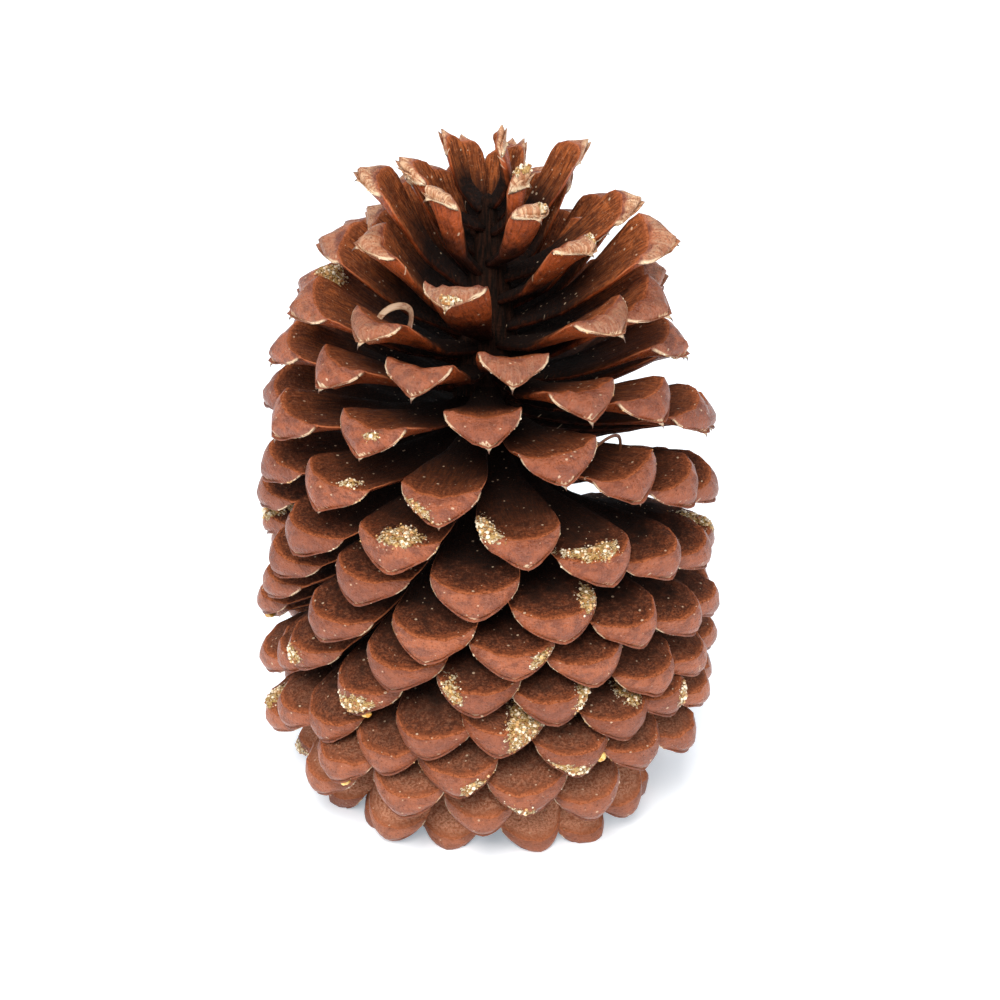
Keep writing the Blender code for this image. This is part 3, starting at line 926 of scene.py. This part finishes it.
def grow_drops_tree(material):
    tree, points, size, end = new_tree("grow_drops", DROP_SIZES)
    ball = tree.nodes.new("GeometryNodeMeshIcoSphere")
    ball.inputs["Radius"].default_value = MM
    ball.inputs["Subdivisions"].default_value = 4
    placed = tree.nodes.new("GeometryNodeInstanceOnPoints")
    tree.links.new(points, placed.inputs["Points"])
    tree.links.new(ball.outputs["Mesh"], placed.inputs["Instance"])
    plug(tree, together(tree, kept(tree, "size"), kept(tree, "size"), kept(tree, "size") * size["Squash"]),
         placed.inputs["Scale"])
    real = follow(tree, "GeometryNodeRealizeInstances", placed.outputs[0])
    position = tree.nodes.new("GeometryNodeInputPosition").outputs[0]
    x, y, z = apart(tree, position)
    wobble = []
    for shift in (0, 9, 18):
        vector = together(tree, x * 700.0 + shift, y * 700.0, z * 700.0)
        wobble.append(noise(tree, vector, 1.0, 1.0) - 0.5)
    offset = together(tree, *(value * size["Unevenness"] * 2.0 * MM for value in wobble))
    moved = follow(tree, "GeometryNodeSetPosition", real.outputs[0], Offset=offset)
    finish_tree(tree, moved.outputs[0], end, material)
    return tree


def on_scale(row, across, run, above):
    """A place given along, across and above a scale, in the cone's frame and in metres."""
    radius = row["root_radius"] + run * math.cos(row["slope"]) - above * math.sin(row["slope"])
    height = row["root_height"] + run * math.sin(row["slope"]) + above * math.cos(row["slope"])
    x = radius * math.sin(row["azimuth"]) + across * math.cos(row["azimuth"])
    y = across * math.sin(row["azimuth"]) - radius * math.cos(row["azimuth"])
    return (x * MM, y * MM, height * MM)


def drops_object():
    """One point at the lower edge of each shield that a drop hangs from."""
    places = []
    sizes = []
    for row in rows:
        if row["number"] in DROPS:
            sideways, upwards, size = DROPS[row["number"]]
            x, y, z = on_scale(row, sideways, row["length"] + DROP_AHEAD, 0.0)
            places.append((x, y, z + upwards * MM))
            sizes.append(size)
    mesh = bpy.data.meshes.new("resin_drops")
    mesh.from_pydata(places, [], [])
    mesh.attributes.new("size", "FLOAT", "POINT").data.foreach_set("value", sizes)
    return in_scene("resin_drops", mesh)


drops = made_by(grow_drops_tree(amber_material()), drops_object(), DROP_SIZES)
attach(drops, "root")
print("resin drops:", len(DROPS))

# %% [markdown]
# Two papery seed wings that never flew stand between the upper scales. A wing is an arched
# band a quarter of a millimetre thick, with both feet sunk in the scale that carries it. It
# is closed mesh code: two layers joined round their border.

# %% Seed wings
WINGS = {
    33: {"share": 0.70, "width": 12.5, "rise": 8.0, "band": 1.7, "bend": 3.0, "tone": 0.2},
    65: {"share": 0.80, "width": 14.0, "rise": 9.0, "band": 0.9, "bend": -3.0, "tone": 1.0},
}
WING_THICKNESS = 0.25
WING_SINK = 1.2
WING_STEPS = 30
WING_ROWS = 3


def wing_material():
    material, tree, shader = new_material("wing_paper")
    x, y, z = own_millimetres(tree)
    wood = use_group(tree, wood_grain, Vector=together(tree, z, x, y), Fineness=1.0)
    paint = blend(tree, wood["Fibre"].between(0.45, 0.65), (0.60, 0.42, 0.27), (0.28, 0.13, 0.06))
    paint = blend(tree, stored(tree, "tone"), paint, (0.11, 0.035, 0.013))
    finish_paint(tree, shader, paint, wood["Grit"] * 0.3 + 0.3, bump(tree, wood["Fibre"], 0.4, 0.0003))
    return material


def on_blade(row, across, run, above):
    """A place on the upper face of a scale, or above it, in the cone's frame and in metres."""
    share = run / row["length"]
    lift = row["drop"] * share - 4.0 * SCALE_SIZES["Sag"] * share * (1.0 - share)
    return on_scale(row, across, run, above + lift)


def wing_points(row, wing, layer):
    """The points of one layer of a wing, step by step over its arch."""
    points = []
    for i in range(WING_STEPS + 1):
        turn = math.pi * i / WING_STEPS
        for j in range(WING_ROWS + 1):
            inset = wing["band"] * j / WING_ROWS
            across = (0.5 * wing["width"] - inset) * math.cos(turn)
            above = (wing["rise"] - inset) * math.sin(turn) - WING_SINK
            run = wing["share"] * row["length"] + wing["bend"] * math.cos(turn) ** 2
            points.append(on_blade(row, across, run + layer * WING_THICKNESS, above))
    return points


def wings_piece():
    points = []
    faces = []
    tones = []
    beside = WING_ROWS + 1
    layer_count = (WING_STEPS + 1) * beside
    border = [i * beside for i in range(WING_STEPS + 1)]
    border += [WING_STEPS * beside + j for j in range(1, beside)]
    border += [i * beside + WING_ROWS for i in range(WING_STEPS - 1, -1, -1)]
    border += list(range(WING_ROWS - 1, 0, -1))
    for row in rows:
        if row["number"] in WINGS:
            wing = WINGS[row["number"]]
            first = len(points)
            points += wing_points(row, wing, 0) + wing_points(row, wing, 1)
            fade = [1.0 - (1.0 - wing["tone"]) * i / WING_STEPS for i in range(WING_STEPS + 1)]
            tones += [tone for tone in fade for _ in range(beside)] * 2
            for i in range(WING_STEPS):
                for j in range(WING_ROWS):
                    corner = first + i * beside + j
                    quad = (corner, corner + beside, corner + beside + 1, corner + 1)
                    faces.append(quad)
                    faces.append(tuple(index + layer_count for index in reversed(quad)))
            for here, after in zip(border, border[1:] + border[:1]):
                here += first
                after += first
                faces.append((after, here, here + layer_count, after + layer_count))
    mesh = bpy.data.meshes.new("seed_wings")
    mesh.from_pydata(points, [], faces)
    mesh.attributes.new("tone", "FLOAT", "POINT").data.foreach_set("value", tones)
    builder = bmesh.new()
    builder.from_mesh(mesh)
    bmesh.ops.recalc_face_normals(builder, faces=builder.faces)
    builder.to_mesh(mesh)
    builder.free()
    mesh.shade_smooth()
    mesh.materials.append(wing_material())
    return in_scene("seed_wings", mesh)


wings = wings_piece()
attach(wings, "root")
print("seed wings:", len(wings.data.polygons), "faces")

# %% [markdown]
# The axis is a woody spindle that is hidden nearly everywhere. It shows as a dark column
# where scales have fallen out near the tip, so it gets ridges between the scale scars and a
# rounded end.

# %% The woody axis
AXIS_LEVELS = 90
AXIS_AROUND = 48


def axis_material():
    material, tree, shader = new_material("axis_wood")
    x, y, z = own_millimetres(tree)
    wood = use_group(tree, wood_grain, Vector=together(tree, x, z, y), Fineness=0.8)
    # The axis's near-black is partly its dark wood and partly painted shade between the scales.
    dark = blend(tree, wood["Fibre"].between(0.35, 0.7), (0.005, 0.003, 0.002), (0.030, 0.010, 0.005))
    relief = bump(tree, wood["Fibre"] + wood["Grit"], 0.7, 0.0008)
    finish_paint(tree, shader, dark, wood["Grit"] * 0.3 + 0.7, relief)
    shader.inputs["Specular IOR Level"].default_value = 0.1
    return material


def axis_piece():
    levels = np.linspace(AXIS_HEIGHT[0], AXIS_HEIGHT[-1], AXIS_LEVELS)
    around = AXIS_AROUND
    points = []
    for level in levels:
        radius = float(np.interp(level, AXIS_HEIGHT, AXIS_RADIUS))
        for k in range(around):
            turn = 2.0 * math.pi * k / around
            ridge = 0.35 * math.sin(8 * turn + 0.16 * level) + 0.3 * math.sin(13 * turn - 0.23 * level)
            away = radius + ridge * min(1.0, radius / 6)
            points.append((away * math.sin(turn) * MM, -away * math.cos(turn) * MM, level * MM))
    faces = []
    for j in range(len(levels) - 1):
        for k in range(around):
            i = (k + 1) % around
            faces.append((j * around + k, j * around + i, (j + 1) * around + i, (j + 1) * around + k))
    foot = len(points)
    points.append((0.0, 0.0, (AXIS_HEIGHT[0] + 1.0) * MM))
    points.append((0.0, 0.0, (AXIS_HEIGHT[-1] + 1.2) * MM))
    last = (len(levels) - 1) * around
    for k in range(around):
        i = (k + 1) % around
        faces.append((foot, i, k))
        faces.append((last + k, last + i, foot + 1))
    mesh = bpy.data.meshes.new("axis")
    mesh.from_pydata(points, [], faces)
    mesh.shade_smooth()
    mesh.materials.append(axis_material())
    return in_scene("axis", mesh)


axis = axis_piece()
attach(axis, "root")
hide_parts("cone")
print("axis", len(axis.data.polygons), "faces")

# %% [markdown]
# The cone stands on a white table under soft studio light. The table is a plain sheet
# without an edge in view, and a pale sky lights the cone from all round. Each light is
# given by its power, its size, its place and its colour.

# %% The floor and the light
FLOOR_HALF = 4.0
LIGHTS = {
    "key": (23.0, 0.6, (-0.15, -0.95, 1.2), (1.0, 0.975, 0.94)),
    "left": (5.0, 0.9, (-1.1, -0.4, 0.7), (1.0, 0.985, 0.97)),
    "right": (5.5, 0.8, (1.0, -0.6, 0.6), (1.0, 0.99, 0.98)),
    "back": (6.0, 0.9, (0.0, 1.0, 1.1), (0.97, 0.98, 1.0)),
}


def stage_floor():
    mesh = bpy.data.meshes.new("floor")
    corners = [(x * FLOOR_HALF, y * FLOOR_HALF, 0.0) for x, y in ((-1, -1), (1, -1), (1, 1), (-1, 1))]
    mesh.from_pydata(corners, [], [(0, 1, 2, 3)])
    material, tree, shader = new_material("white_table")
    shader.inputs["Base Color"].default_value = (0.93, 0.935, 0.95, 1.0)
    shader.inputs["Emission Color"].default_value = (0.78, 0.90, 1.0, 1.0)
    shader.inputs["Emission Strength"].default_value = 0.33
    shader.inputs["Roughness"].default_value = 0.6
    mesh.materials.append(material)
    floor = in_scene("floor", mesh)


def area_light(name, energy, size, place, tint):
    data = bpy.data.lights.new(name, "AREA")
    data.energy = energy
    data.size = size
    data.color = tint
    lamp = in_scene(name, data)
    lamp.location = place
    lamp.rotation_euler = (VIEW_TARGET - Vector(place)).to_track_quat("-Z", "Y").to_euler()


stage_floor()
for name, values in LIGHTS.items():
    area_light(name, *values)
world = bpy.data.worlds.new("sky")
world.use_nodes = True
sky = world.node_tree.nodes["Background"]
sky.inputs["Color"].default_value = (0.93, 0.96, 1.0, 1.0)
sky.inputs["Strength"].default_value = 0.46
bpy.context.scene.world = world
bpy.context.scene.view_settings.view_transform = "Standard"
print("lights set")
